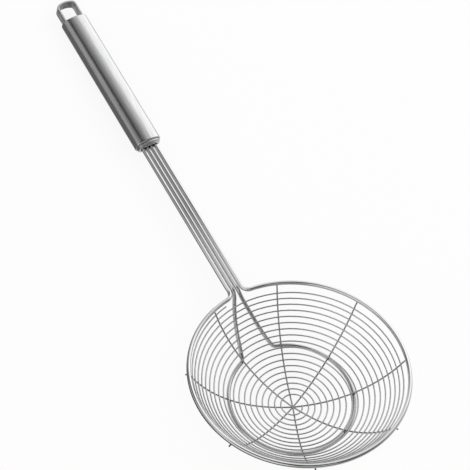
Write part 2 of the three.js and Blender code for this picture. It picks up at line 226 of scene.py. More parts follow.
def towards(start, target, reach):
    """The point at a given reach from one point towards another."""
    start, target = np.array(start), np.array(target)
    return tuple(start + (target - start) / math.dist(target, start) * reach)


def mirrored(points):
    return [(-x, y, z) for x, y, z in reversed(points)]


def shaft_point(x, along):
    return (x, SHAFT_Y + along * math.cos(Wires.rise), along * math.sin(Wires.rise))


def rim_path():
    bend_x = OUTER_X + Wires.rim_bend
    bend_y = math.sqrt((Wires.rim_radius + Wires.rim_bend) ** 2 - bend_x**2)
    touch = math.atan2(bend_y, bend_x)
    bend = arc((bend_x, bend_y), Wires.rim_bend, math.pi, math.pi + touch, Counts.rim_bend)
    lowest = bend[-1][1]
    ease = 2 * (SHAFT_Y - lowest)
    top = shaft_point(OUTER_X, Wires.shaft + Wires.insert)[1]
    ends = np.linspace(top, bend_y, Counts.rim_end, endpoint=False)
    straight = [(OUTER_X, y, 0.0) for y in ends]
    side = []
    for x, y, _ in straight + bend:
        past = max(y - lowest, 0)
        z = math.tan(Wires.rise) * (past**2 / (2 * ease) if past < ease else past - ease / 2)
        side.append((x, y, z))
    circle = arc((0, 0), Wires.rim_radius, touch, -math.pi - touch, Counts.rim)
    return side + circle[1:-1] + mirrored(side)


def support_path():
    far = support_height(Wires.ring_radius - Wires.ring_shift)
    near = support_height(Wires.ring_radius + Wires.ring_shift)

    def ring_height(y):
        share = (y - Wires.ring_shift) / (2 * Wires.ring_radius) + 0.5
        return far + (near - far) * share

    turn = math.radians(Wires.leg_turn)
    reach = Wires.ring_radius + Wires.leg_bend
    bend_x, bend_y = reach * math.sin(turn), reach * math.cos(turn) + Wires.ring_shift
    top_y = Wires.rim_radius + RING_DROP
    dx, dy = INNER_X - bend_x, top_y - bend_y
    leg_angle = math.atan2(dy, dx) + math.acos(Wires.leg_bend / math.hypot(dx, dy))
    last_angle = math.pi * 1.5 - turn
    bend = arc((bend_x, bend_y), Wires.leg_bend, leg_angle, last_angle, Counts.leg_bend)
    leg = []
    for t in np.linspace(0, 1, Counts.leg):
        bow = Wires.leg_bow * t * (1 - t) ** 2 / BOW_PEAK
        x = INNER_X + (bend[0][0] - INNER_X) * t + bow
        y = top_y + (bend[0][1] - top_y) * t
        leg.append((x, y, support_height(math.hypot(x, y))))
    eased = []
    for i, (x, y, _) in enumerate(bend):
        share = i / (len(bend) - 1)
        under = support_height(math.hypot(x, y))
        eased.append((x, y, under + (ring_height(y) - under) * share))
    knee = (INNER_X, top_y, (top_y - SHAFT_Y) * math.tan(Wires.rise))
    free = [p for p in leg if math.dist(p, knee) > Wires.knee]
    away = shaft_point(INNER_X, Wires.shaft + Wires.insert)
    back = towards(knee, away, Wires.knee)
    ahead = towards(knee, free[0], Wires.knee)
    straight = [tuple(p) for p in np.linspace(away, back, Counts.leg_end)]
    side = straight + bezier(back, knee, ahead, Counts.knee)[1:] + free[1:] + eased[1:]
    first, last = math.pi / 2 - turn, turn - math.pi * 1.5
    circle = arc((0, Wires.ring_shift), Wires.ring_radius, first, last, Counts.ring)
    ring = [(x, y, ring_height(y)) for x, y, _ in circle]
    return side + ring[1:-1] + mirrored(side)


def rib_path(turn):
    under = -RING_DROP
    share = 1 - (-under / Wires.depth) ** (1 / Wires.wall)
    corner_r = Wires.rim_radius * share ** (1 / Wires.floor)
    corner = (corner_r, 0.0, under)
    radii = np.linspace(Wires.hub_gap, corner_r, Counts.rib)
    climb = [(r, 0.0, bowl_height(r)) for r in radii]
    free = [p for p in climb if math.dist(p, corner) > Wires.rib_clear]
    start = towards(corner, free[-1], Wires.rib_bend)
    end = (corner_r + Wires.rib_bend, 0.0, under)
    tip = (Wires.rim_radius + Wires.frame / 2 + Wires.rib_proud, 0.0, under)
    points = free + bezier(start, corner, end, Counts.rib_bend) + [tip]
    a = math.radians(turn + 90)
    return [(x * math.cos(a), x * math.sin(a), z) for x, _, z in points]


def spiral_path():
    radii = np.linspace(0, Wires.rim_radius, Counts.bowl_table)
    middles = (radii[1:] + radii[:-1]) / 2
    steps = np.array([1 / math.cos(bowl_slope(r)) for r in middles]) * (radii[1] - radii[0])
    lengths = np.concatenate([[0], np.cumsum(steps)])
    end = lengths[-1] - Wires.edge
    turned, length, points = 0.0, Wires.start, []
    while length < end:
        radius, height = offset_bowl(float(np.interp(length, lengths, radii)), SPIRAL_LIFT)
        angle = math.radians(Wires.start_turn) - turned
        points.append((-radius * math.sin(angle), radius * math.cos(angle), height))
        turned += 2 * math.pi / Counts.spiral_turn
        length = Wires.start + Wires.pitch * turned / (2 * math.pi)
    return points


# Handle


def handle_arcs(inset):
    """Radii, centres and half angles of the arcs of the tube's outline."""
    corner = Grip.corner - inset
    a = Grip.width / 2 - Grip.bulge - Grip.corner
    b = Grip.thickness / 2 - Grip.crown - Grip.corner
    crown_r = (a * a + Grip.crown**2) / (2 * Grip.crown)
    bulge_r = (b * b + Grip.bulge**2) / (2 * Grip.bulge)
    return {
        "a": a,
        "b": b,
        "corner": corner,
        "crown": math.asin(a / crown_r),
        "bulge": math.asin(b / bulge_r),
        "face": (b + Grip.crown - crown_r, crown_r + corner),
        "side": (a + Grip.bulge - bulge_r, bulge_r + corner),
    }


def handle_section(inset):
    """Closed outline of the tube as (x, z), from its right side over its front."""
    s = handle_arcs(inset)
    face_z, face_r = s["face"]
    side_x, side_r = s["side"]
    a, b, c, crown, bulge = s["a"], s["b"], s["corner"], s["crown"], s["bulge"]
    up, left, down, right = (math.pi / 2 * i for i in range(1, 5))
    parts = [
        (side_x, 0, side_r, -bulge, bulge, Counts.side),
        (a, b, c, bulge, up - crown, Counts.corner),
        (0, face_z, face_r, up - crown, up + crown, Counts.face),
        (-a, b, c, up + crown, left - bulge, Counts.corner),
        (-side_x, 0, side_r, left - bulge, left + bulge, Counts.side),
        (-a, -b, c, left + bulge, down - crown, Counts.corner),
        (0, -face_z, face_r, down - crown, down + crown, Counts.face),
        (a, -b, c, down + crown, right - bulge, Counts.corner),
    ]
    outline = []
    for x, z, r, start, stop, count in parts:
        for t in np.linspace(start, stop, count, endpoint=False):
            outline.append((x + r * math.cos(t), z + r * math.sin(t)))
    return outline


def half_width(inset, height):
    """Half the tube's width at a height over its middle."""
    s = handle_arcs(inset)
    above = abs(height) - s["b"] - s["corner"] * math.sin(s["bulge"])
    if above > 0:
        return s["a"] + math.sqrt(s["corner"] ** 2 - (abs(height) - s["b"]) ** 2)
    return s["side"][0] + math.sqrt(s["side"][1] ** 2 - height**2)


def loop_band():
    """Front and back edge of the loop's strip and how far its legs stand from the middle."""
    inside = Grip.thickness / 2 - Grip.wall
    front, back = inside - Grip.front_inset, Grip.back_inset - inside
    inset = Grip.wall + Wires.gap
    reach = min(half_width(inset, front), half_width(inset, back))
    return front, back, reach


def loop_path():
    """Middle line of the bent strip, in the handle frame, in the plane of its middle."""
    front, back, reach = loop_band()
    half = reach - Grip.shoulder
    drop = half / math.tan(Grip.arch)
    crown_r = Grip.shoulder + half / math.sin(Grip.arch)
    top = Wires.shaft + Grip.length
    shoulder_y = top + Grip.standoff + drop - crown_r
    inward = Grip.strip / 2
    near, far = math.pi / 2 - Grip.arch, math.pi / 2 + Grip.arch
    foot = top - Grip.leg
    legs = np.linspace(foot, shoulder_y, Counts.loop_leg, endpoint=False)
    plan = [(reach - inward, y) for y in legs]
    round_r = Grip.shoulder - inward
    runs = [
        (half, shoulder_y, round_r, 0, near, Counts.loop_shoulder),
        (0, shoulder_y - drop, crown_r - inward, near, far, Counts.loop_crown),
        (-half, shoulder_y, round_r, far, math.pi, Counts.loop_shoulder),
    ]
    for x, y, r, start, stop, count in runs:
        for t in np.linspace(start, stop, count, endpoint=False):
            plan.append((x + r * math.cos(t), y + r * math.sin(t)))
    plan += [(inward - reach, y) for y in np.linspace(shoulder_y, foot, Counts.loop_leg)]
    level = (front + back) / 2
    return [(x, y, level) for x, y in plan]


def handle_front():
    """Direction out of the handle's front, in the part's frame."""
    foot, out = to_part(handle_to_tool([(0, 0, 0), (0, 0, 1)]))
    return Vector(out - foot).normalized()


def tube_profile():
    """Wall of the tube as (y, inset): its lower edge, outside, upper edge and inside."""
    start, end = Wires.shaft, Wires.shaft + Grip.length
    turns = np.linspace(0, math.pi / 2, Counts.edge)
    edge = [(Grip.edge * (1 - math.sin(t)), Grip.edge * (1 - math.cos(t))) for t in turns]
    past = Grip.edge + Grip.lead
    profile = [(start + y, inset) for y, inset in reversed(edge)]
    profile += [(y, 0.0) for y in np.linspace(start + past, end - past, Counts.tube)]
    profile += [(end - y, inset) for y, inset in edge]
    bore = np.linspace(end - Grip.lip, start + Grip.lip, Counts.bore)
    return profile + [(y, Grip.wall) for y in bore]


# Meshes


def new_object(name, mesh):
    obj = bpy.data.objects.new(name, mesh)
    bpy.context.scene.collection.objects.link(obj)
    return obj


def mesh_object(name, verts, edges, faces):
    mesh = bpy.data.meshes.new(name)
    mesh.from_pydata([tuple(v) for v in verts], edges, faces)
    return new_object(name, mesh)


def path_object(name, points):
    return mesh_object(name, points, [(i, i + 1) for i in range(len(points) - 1)], [])


def bake(obj):
    """Turns the live modifier into a plain mesh."""
    graph = bpy.context.evaluated_depsgraph_get()
    mesh = bpy.data.meshes.new_from_object(obj.evaluated_get(graph))
    mesh.name = obj.name
    obj.modifiers.clear()
    old = obj.data
    obj.data = mesh
    bpy.data.meshes.remove(old)
    return obj


def loft(name, rings, lay):
    """Closed skin through rings of equal count that return to the first one."""
    count = len(rings[0])
    faces = []
    for i in range(len(rings)):
        j = (i + 1) % len(rings)
        for k in range(count):
            m = (k + 1) % count
            faces.append((i * count + k, j * count + k, j * count + m, i * count + m))
    obj = mesh_object(name, [p for ring in rings for p in ring], [], faces)
    obj.data.polygons.foreach_set("use_smooth", [True] * len(faces))
    attribute = obj.data.attributes.new("lay", "FLOAT_VECTOR", "POINT")
    attribute.data.foreach_set("vector", np.asarray(lay, dtype=float).ravel())
    obj.data.update()
    return obj


# Geometry nodes

EDGE_STEPS = 4
BEAD_FINENESS = 3
BEAD_SPREAD = (0.85, 1.1)
BEAD_SEED = 0


def socket(sockets, kind, name=None):
    """The first socket of a kind, and of a name where one is given."""
    return next(s for s in sockets if s.type == kind and name in (None, s.name))


def tree_with(name, inputs):
    tree = bpy.data.node_groups.new(name, "GeometryNodeTree")
    tree.is_modifier = True
    tree.interface.new_socket("Geometry", in_out="INPUT", socket_type="NodeSocketGeometry")
    for label, kind in inputs:
        tree.interface.new_socket(label, in_out="INPUT", socket_type=kind)
    tree.interface.new_socket("Geometry", in_out="OUTPUT", socket_type="NodeSocketGeometry")
    return tree, tree.nodes.new("NodeGroupInput"), tree.nodes.new("NodeGroupOutput")


def finish_tree(tree, source, given, out, soft=True):
    """Shading, real geometry and material, in that order, to the output."""
    smooth = tree.nodes.new("GeometryNodeSetShadeSmooth")
    smooth.inputs["Shade Smooth"].default_value = soft
    real = tree.nodes.new("GeometryNodeRealizeInstances")
    coat = tree.nodes.new("GeometryNodeSetMaterial")
    tree.links.new(source, smooth.inputs["Geometry"])
    tree.links.new(smooth.outputs["Geometry"], real.inputs["Geometry"])
    tree.links.new(real.outputs["Geometry"], coat.inputs["Geometry"])
    tree.links.new(given.outputs["Material"], coat.inputs["Material"])
    tree.links.new(coat.outputs["Geometry"], out.inputs["Geometry"])


def wire_tree():
    inputs = [
        ("Radius", "NodeSocketFloat"),
        ("Sides", "NodeSocketInt"),
        ("Material", "NodeSocketMaterial"),
    ]
    tree, given, out = tree_with("Round wire", inputs)
    line = tree.nodes.new("GeometryNodeMeshToCurve")
    ring = tree.nodes.new("GeometryNodeCurvePrimitiveCircle")
    sweep = tree.nodes.new("GeometryNodeCurveToMesh")
    sweep.inputs["Fill Caps"].default_value = True
    tree.links.new(given.outputs["Geometry"], line.inputs["Mesh"])
    tree.links.new(given.outputs["Sides"], ring.inputs["Resolution"])
    tree.links.new(given.outputs["Radius"], ring.inputs["Radius"])
    tree.links.new(line.outputs["Curve"], sweep.inputs["Curve"])
    tree.links.new(ring.outputs["Curve"], sweep.inputs["Profile Curve"])
    finish_tree(tree, sweep.outputs["Mesh"], given, out)
    return tree


def strip_tree():
    inputs = [
        ("Thickness", "NodeSocketFloat"),
        ("Band", "NodeSocketFloat"),
        ("Edge", "NodeSocketFloat"),
        ("Material", "NodeSocketMaterial"),
    ]
    tree, given, out = tree_with("Bent strip", inputs)
    line = tree.nodes.new("GeometryNodeMeshToCurve")
    section = tree.nodes.new("GeometryNodeCurvePrimitiveQuadrilateral")
    round_off = tree.nodes.new("GeometryNodeFilletCurve")
    sweep = tree.nodes.new("GeometryNodeCurveToMesh")
    round_off.mode = "POLY"
    round_off.inputs["Count"].default_value = EDGE_STEPS
    sweep.inputs["Fill Caps"].default_value = True
    tree.links.new(given.outputs["Geometry"], line.inputs["Mesh"])
    tree.links.new(given.outputs["Thickness"], section.inputs["Width"])
    tree.links.new(given.outputs["Band"], section.inputs["Height"])
    tree.links.new(section.outputs["Curve"], round_off.inputs["Curve"])
    tree.links.new(given.outputs["Edge"], round_off.inputs["Radius"])
    tree.links.new(line.outputs["Curve"], sweep.inputs["Curve"])
    tree.links.new(round_off.outputs["Curve"], sweep.inputs["Profile Curve"])
    finish_tree(tree, sweep.outputs["Mesh"], given, out, soft=False)
    return tree


def bead_tree():
    inputs = [("Size", "NodeSocketFloat"), ("Material", "NodeSocketMaterial")]
    tree, given, out = tree_with("Weld beads", inputs)
    ball = tree.nodes.new("GeometryNodeMeshIcoSphere")
    place = tree.nodes.new("GeometryNodeInstanceOnPoints")
    vary = tree.nodes.new("FunctionNodeRandomValue")
    ball.inputs["Subdivisions"].default_value = BEAD_FINENESS
    vary.data_type = "FLOAT"
    vary.inputs["Seed"].default_value = BEAD_SEED
    for label, bound in zip(("Min", "Max"), BEAD_SPREAD):
        socket(vary.inputs, "VALUE", label).default_value = bound
    tree.links.new(given.outputs["Geometry"], place.inputs["Points"])
    tree.links.new(given.outputs["Size"], ball.inputs["Radius"])
    tree.links.new(ball.outputs["Mesh"], place.inputs["Instance"])
    tree.links.new(socket(vary.outputs, "VALUE"), place.inputs["Scale"])
    finish_tree(tree, place.outputs["Instances"], given, out)
    return tree


def grow(obj, tree, **values):
    """Runs a tree on an object with named inputs and keeps the plain mesh."""
    modifier = obj.modifiers.new(tree.name, "NODES")
    modifier.node_group = tree
    sockets = {s.name: s.identifier for s in tree.interface.items_tree if s.in_out == "INPUT"}
    for label, value in values.items():
        modifier[sockets[label]] = value
    obj.update_tag()
    bake(obj)
    obj.data.materials.clear()
    obj.data.materials.append(values["Material"])
    obj.data.polygons.foreach_set("material_index", [0] * len(obj.data.polygons))
    return obj


# Materials

# Least and greatest roughness of a steel, and how fine its clouds are.
WELD_FINISH = (0.2, 0.42, 900.0)
INSERT_FINISH = (0.24, 0.4, 300.0)
STRIP_FINISH = (0.18, 0.34, 160.0)
# Least roughness of a drawn wire as a share of a thin one's, and how fine its clouds are.
THICK_FINISH = (0.6, 90.0)
THIN_FINISH = (1.0, 140.0)
DRAWN_SPREAD = 1.8
BRUSHED_SPREAD = (0.8, 1.2)
# Scale of the brushed lines round the tube, along it and into it, and their detail.
LINES = {"Fine": ((2.6, 0.07, 2.6), 4.0), "Soft": ((0.9, 0.012, 0.9), 2.0)}
LINE_STRENGTH = 0.5
LINE_DEPTH = 0.02 * MM
CLOUD_DETAIL = 3.0
# What the noise mostly stays within, and where the strip's dark patches of painted shade fade out.
NOISE_RANGE = (0.25, 0.75)
SHADE_PATCH_RANGE = (0.4, 0.6)
FULL_RANGE = (0.0, 1.0)


def shader_group(name, inputs, outputs):
    group = bpy.data.node_groups.new(name, "ShaderNodeTree")
    for label, kind in inputs:
        group.interface.new_socket(label, in_out="INPUT", socket_type=kind)
    for label, kind in outputs:
        group.interface.new_socket(label, in_out="OUTPUT", socket_type=kind)
    return group, group.nodes.new("NodeGroupInput"), group.nodes.new("NodeGroupOutput")


def streak_group():
    """Fine lines and soft bands along Y of the given vector, both from 0 to 1."""
    group, given, out = shader_group(
        "Brushed lines",
        [("Vector", "NodeSocketVector")],
        [("Fine", "NodeSocketFloat"), ("Soft", "NodeSocketFloat")],
    )
    for label, (scale, detail) in LINES.items():
        stretch = group.nodes.new("ShaderNodeVectorMath")
        stretch.operation = "MULTIPLY"
        stretch.inputs[1].default_value = scale
        noise = group.nodes.new("ShaderNodeTexNoise")
        noise.inputs["Scale"].default_value = 1.0
        noise.inputs["Detail"].default_value = detail
        group.links.new(given.outputs["Vector"], stretch.inputs[0])
        group.links.new(stretch.outputs["Vector"], noise.inputs["Vector"])
        group.links.new(noise.outputs["Fac"], out.inputs[label])
    return group


def wear_group():
    """Cloudy variation of a drawn wire, from 0 to 1."""
    group, given, out = shader_group(
        "Drawn wire", [("Scale", "NodeSocketFloat")], [("Cloud", "NodeSocketFloat")]
    )
    place = group.nodes.new("ShaderNodeTexCoord")
    noise = group.nodes.new("ShaderNodeTexNoise")
    noise.inputs["Detail"].default_value = CLOUD_DETAIL
    group.links.new(place.outputs["Object"], noise.inputs["Vector"])
    group.links.new(given.outputs["Scale"], noise.inputs["Scale"])
    group.links.new(noise.outputs["Fac"], out.inputs["Cloud"])
    return group


def metal(name, tint, roughness):
    material = bpy.data.materials.new(name)
    material.use_nodes = True
    nodes = material.node_tree.nodes
    shader = nodes["Principled BSDF"]
    shader.inputs["Base Color"].default_value = (*tint, 1.0)
    shader.inputs["Metallic"].default_value = 1.0
    shader.inputs["Roughness"].default_value = roughness
    return material, nodes, material.node_tree.links, shader


def ranged(nodes, links, source, given, wanted):
    """Output that carries a value from one range into another and holds it there."""
    node = nodes.new("ShaderNodeMapRange")
    for label, bound in zip(("From Min", "From Max", "To Min", "To Max"), (*given, *wanted)):
        node.inputs[label].default_value = bound
    links.new(source, node.inputs["Value"])
    return node.outputs["Result"]


def feed(links, target, value):
    """Sets a socket to a number or links it to an output."""
    if isinstance(value, float):
        target.default_value = value
    else:
        links.new(value, target)


def clouds(nodes, scale):
    node = nodes.new("ShaderNodeGroup")
    node.node_tree = group_named("Drawn wire", wear_group)
    node.inputs["Scale"].default_value = scale
    return node.outputs["Cloud"]


def wire_metal(name, tint, low, high, scale):
    """Steel of one colour whose roughness changes in clouds."""
    material, nodes, links, shader = metal(name, tint, (low + high) / 2)
    rough = ranged(nodes, links, clouds(nodes, scale), NOISE_RANGE, (low, high))
    links.new(rough, shader.inputs["Roughness"])
    return material


def grey_mix(nodes, links, factor, first, second):
    """Output with a grey between two, each of them a level or an output."""
    mix = nodes.new("ShaderNodeMix")
    mix.data_type = "FLOAT"
    for label, value in (("A", first), ("B", second), ("Factor", factor)):
        feed(links, socket(mix.inputs, "VALUE", label), value)
    return socket(mix.outputs, "VALUE")


def strip_metal(name, greys, low, high, scale):
    """Rolled strip whose broad faces are darkened as painted shade, with cloudy dark patches of
    painted shade, and whose edges are lighter as a painted highlight, told apart by a face
    attribute.
    """
    patch_shade, plain, highlit = greys
    material, nodes, links, shader = metal(name, (plain,) * 3, (low + high) / 2)
    painted_highlight = nodes.new("ShaderNodeAttribute")
    painted_highlight.attribute_name = "painted_highlight"
    cloud = clouds(nodes, scale)
    # Cloudy dark patches on the broad faces: painted shade.
    darkening = ranged(nodes, links, cloud, SHADE_PATCH_RANGE, FULL_RANGE)
    broad = grey_mix(nodes, links, darkening, patch_shade, plain)
    # The edges get the lighter grey: a painted highlight.
    shade = grey_mix(nodes, links, painted_highlight.outputs["Fac"], broad, highlit)
    rough = ranged(nodes, links, cloud, NOISE_RANGE, (low, high))
    links.new(shade, shader.inputs["Base Color"])
    links.new(rough, shader.inputs["Roughness"])
    return material


def brushed_metal(name, tints, low, high):
    """Satin steel with lines along Y of the mesh's own lay attribute."""
    material, nodes, links, shader = metal(name, tints[0], (low + high) / 2)
    lay = nodes.new("ShaderNodeAttribute")
    lay.attribute_name = "lay"
    lines = nodes.new("ShaderNodeGroup")
    lines.node_tree = group_named("Brushed lines", streak_group)
    links.new(lay.outputs["Vector"], lines.inputs["Vector"])
    mix = nodes.new("ShaderNodeMix")
    mix.data_type = "RGBA"
    for label, tint in zip("AB", tints):
        socket(mix.inputs, "RGBA", label).default_value = (*tint, 1.0)
    links.new(lines.outputs["Fine"], mix.inputs["Factor"])
    links.new(socket(mix.outputs, "RGBA"), shader.inputs["Base Color"])
    rough = ranged(nodes, links, lines.outputs["Soft"], NOISE_RANGE, (low, high))
    links.new(rough, shader.inputs["Roughness"])
    bump = nodes.new("ShaderNodeBump")
    bump.inputs["Strength"].default_value = LINE_STRENGTH
    bump.inputs["Distance"].default_value = LINE_DEPTH
    links.new(lines.outputs["Fine"], bump.inputs["Height"])
    links.new(bump.outputs["Normal"], shader.inputs["Normal"])
    return material


# Settings

LEAST_SIDES = 8


def length_setting(name, description, default, low, high):
    """A length in metres, given in millimetres."""
    return bpy.props.FloatProperty(
        name=name,
        description=description,
        default=default * MM,
        min=low * MM,
        max=high * MM,
        precision=5,
        subtype="DISTANCE",
        unit="LENGTH",
    )


def share_setting(name, description, default):
    """A value from 0 to 1."""
    return bpy.props.FloatProperty(
        name=name, description=description, default=default, min=0.0, max=1.0, subtype="FACTOR"
    )


def colour_setting(name, description, default):
    """A linear colour."""
    return bpy.props.FloatVectorProperty(
        name=name,
        description=description,
        default=default,
        min=0.0,
        max=1.0,
        size=3,
        subtype="COLOR",
    )


class SkimmerLooks(bpy.types.PropertyGroup):
    """Small sizes and finish of the wires and the handle."""

    wire_sides: bpy.props.IntProperty(
        name="Wire sides",
        description="Flats round a thick wire, twice those of a thin one",
        default=20,
        min=LEAST_SIDES,
        max=48,
    )
    bead_size: length_setting("Weld bead", "Radius of a weld bead", 0.85, 0.2, 2.0)
    strip_edge: length_setting("Strip edge", "Rounding of the strip's edges", 0.3, 0.05, 0.7)
    rough_wire: share_setting("Wire roughness", "Least roughness of a drawn thin wire", 0.13)
    rough_handle: share_setting("Handle roughness", "Middle roughness of the brushed tube", 0.18)
    rim: colour_setting("Rim wire", "Steel of the rim wire", (0.6, 0.601, 0.603))
    # The support, spiral and rib greys are darker than the rim's: painted shade for the darker
    # look of the legs, the ring and the bowl's wires.
    support: colour_setting("Support wire", "Steel of the ring and its legs", (0.52, 0.521, 0.523))
    spiral: colour_setting("Spiral wire", "Steel of the winding", (0.46, 0.461, 0.463))
    rib: colour_setting("Rib wire", "Steel of the ribs", (0.33, 0.331, 0.333))
    weld: colour_setting("Weld", "Heat-dulled steel of the weld beads", (0.36, 0.361, 0.363))
    insert: colour_setting("Insert", "Pressed steel of the plug and the cap", (0.47, 0.471, 0.474))
    line_dark: colour_setting("Dark lines", "Darkest lines of the tube", (0.3, 0.301, 0.304))
    line_light: colour_setting("Light lines", "Lightest lines of the tube", (0.7, 0.701, 0.704))
    # Greys of the loop: its darker faces and darker cloudy patches are painted shade.
    strip_shade_patch: share_setting("Strip stain", "Grey of the stains on the loop", 0.09)
    strip_face: share_setting("Strip face", "Grey of the loop's broad faces", 0.27)
    # Grey of the loop's edges, lighter than its faces: a painted highlight.
    strip_edge_highlight: share_setting("Strip edge grey", "Grey of the loop's filed edges", 0.52)


class SkimmerStudio(bpy.types.PropertyGroup):
    """Level of the lamps and of the pale surroundings."""

    key: bpy.props.FloatProperty(
        name="Key lamp",
        description="Power of the key lamp, twice that of the top lamp",
        default=1.2,
        min=0.0,
        subtype="POWER",
        unit="POWER",
    )
    fill: bpy.props.FloatProperty(
        name="Surroundings",
        description="Strength of the white world where it lights the object",
        default=1.0,
        min=0.0,
        max=2.0,
    )
    tent: bpy.props.FloatProperty(
        name="Tent",
        description="Strength of the graded tent that the metal mirrors",
        default=1.92,
        min=0.0,
        max=4.0,
    )


def looks():
    return bpy.context.scene.skimmer_looks


def material_named(name, build, *values):
    """The material of that name, built from its values on first use."""
    found = bpy.data.materials.get(name)
    return found if found else build(name, *values)


def group_named(name, build):
    """The node group of that name, built on first use."""
    found = bpy.data.node_groups.get(name)
    return found if found else build()


def drawn_steel(name, tint, finish):
    rougher, scale = finish
    low = looks().rough_wire * rougher
    return material_named(name, wire_metal, tint, low, low * DRAWN_SPREAD, scale)


def handle_steel():
    tints = (looks().line_dark, looks().line_light)
    low, high = (looks().rough_handle * share for share in BRUSHED_SPREAD)
    return material_named("Brushed handle", brushed_metal, tints, low, high)


def loop_steel():
    greys = (looks().strip_shade_patch, looks().strip_face, looks().strip_edge_highlight)
    return material_named("Rolled strip", strip_metal, greys, *STRIP_FINISH)


# Pieces


def settle(obj, node):
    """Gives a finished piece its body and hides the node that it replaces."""
    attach(obj, "root")
    if node:
        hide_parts(node)


def wire(name, points, diameter, material, sides):
    obj = path_object(name, to_part(points))
    tree = group_named("Round wire", wire_tree)
    return grow(obj, tree, Radius=diameter / 2 * MM, Sides=sides, Material=material)


def thin_sides():
    return max(looks().wire_sides // 2, LEAST_SIDES)


class SKIMMER_OT_frame(bpy.types.Operator):
    """Sweep the rim wire and the support wire with their shaft ends"""

    bl_idname = "skimmer.frame"
    bl_label = "Frame wires"

    def execute(self, context):
        sides = looks().wire_sides
        steel = drawn_steel("Rim wire", looks().rim, THICK_FINISH)
        rim = wire("rim_wire_round", rim_path(), Wires.frame, steel, sides)
        settle(rim, "rim_wire")
        steel = drawn_steel("Support wire", looks().support, THICK_FINISH)
        ring = wire("support_wire_round", support_path(), Wires.frame, steel, sides)
        settle(ring, "support_wire")
        return {"FINISHED"}


class SKIMMER_OT_spiral(bpy.types.Operator):
    """Wind the spiral wire up the bowl"""

    bl_idname = "skimmer.spiral"
    bl_label = "Spiral wire"

    def execute(self, context):
        steel = drawn_steel("Spiral wire", looks().spiral, THIN_FINISH)
        spiral = wire("spiral_wire_round", spiral_path(), Wires.spiral, steel, thin_sides())
        settle(spiral, "spiral_wire")
        return {"FINISHED"}


class SKIMMER_OT_ribs(bpy.types.Operator):
    """Sweep the eight ribs under the spiral"""

    bl_idname = "skimmer.ribs"
    bl_label = "Ribs"

    def execute(self, context):
        steel = drawn_steel("Rib wire", looks().rib, THIN_FINISH)
        for index, turn in enumerate(Wires.rib_turns, start=1):
            rib = wire(f"rib_{index}_round", rib_path(turn), Wires.rib, steel, thin_sides())
            settle(rib, f"rib_{index}")
        return {"FINISHED"}


class SKIMMER_OT_welds(bpy.types.Operator):
    """Set weld beads where the ribs meet the rim, the ring and each other"""

    bl_idname = "skimmer.welds"
    bl_label = "Weld beads"

    def execute(self, context):
        rim, ring, shift = Wires.rim_radius, Wires.ring_radius, Wires.ring_shift
        spots = [(0.0, 0.0, -Wires.depth)]
        for turn in Wires.rib_turns:
            a = math.radians(turn + 90)
            cos, sin = math.cos(a), math.sin(a)
            spots.append((rim * cos, rim * sin, Wires.rim_bead - RING_DROP))
            cross = shift * sin + math.sqrt(ring**2 - (shift * cos) ** 2)
            radius, height = offset_bowl(cross, -(Wires.rib + Wires.gap) / 2)
            spots.append((radius * cos, radius * sin, height))
        obj = path_object("weld_beads", to_part(spots))
        tree = group_named("Weld beads", bead_tree)
        steel = material_named("Weld", wire_metal, looks().weld, *WELD_FINISH)
        grow(obj, tree, Size=looks().bead_size, Material=steel)
        settle(obj, None)
        return {"FINISHED"}


class SKIMMER_OT_tube(bpy.types.Operator):
    """Loft the brushed handle tube with its rounded ends"""

    bl_idname = "skimmer.tube"
    bl_label = "Handle tube"

    def execute(self, context):
        rings, lay = [], []
        for y, inset in tube_profile():
            outline = handle_section(inset)
            rings.append(to_part(handle_to_tool([(x, y, z) for x, z in outline])))
            steps = [math.dist(outline[k], outline[k - 1]) for k in range(len(outline))]
            lay += [(girth, y, inset) for girth in np.cumsum(steps)]
        tube = loft("handle_tube_round", rings, lay)
        tube.data.materials.append(handle_steel())
        settle(tube, "handle_tube")
        return {"FINISHED"}


class SKIMMER_OT_loop(bpy.types.Operator):
    """Bend the hanging loop from flat strip and give its edges a painted highlight"""

    bl_idname = "skimmer.loop"
    bl_label = "Hanging loop"

    def execute(self, context):
        front, back, _ = loop_band()
        strip = path_object("hang_loop_round", to_part(handle_to_tool(loop_path())))
        tree = group_named("Bent strip", strip_tree)
        grow(
            strip,
            tree,
            Thickness=Grip.strip * MM,
            Band=(front - back) * MM,
            Edge=looks().strip_edge,
            Material=loop_steel(),
        )
        out = handle_front()
        # Faces turned to the handle's front and back, the strip's edges, take the painted
        # highlight.
        painted_highlight = strip.data.attributes.new("painted_highlight", "FLOAT", "FACE")
        edgewise = [abs(face.normal.dot(out)) ** 2 for face in strip.data.polygons]
        painted_highlight.data.foreach_set("value", edgewise)
        settle(strip, "hang_loop")
        return {"FINISHED"}


class SKIMMER_OT_inserts(bpy.types.Operator):
    """Give the plug and the cap of the tube their pressed steel"""

    bl_idname = "skimmer.inserts"
    bl_label = "Inserts"

    def execute(self, context):
        steel = material_named("Pressed insert", wire_metal, looks().insert, *INSERT_FINISH)
        for node in ("mouth_plug", "end_cap"):
            piece = frame["nodes"][node]
            piece.data.materials.clear()
            piece.data.materials.append(steel)
        return {"FINISHED"}


# Studio

FLOOR_REACH = 4.0
FLOOR_DROP = 0.3 * MM
FLOOR_GREY = 0.86
FLOOR_WHITE = 0.86

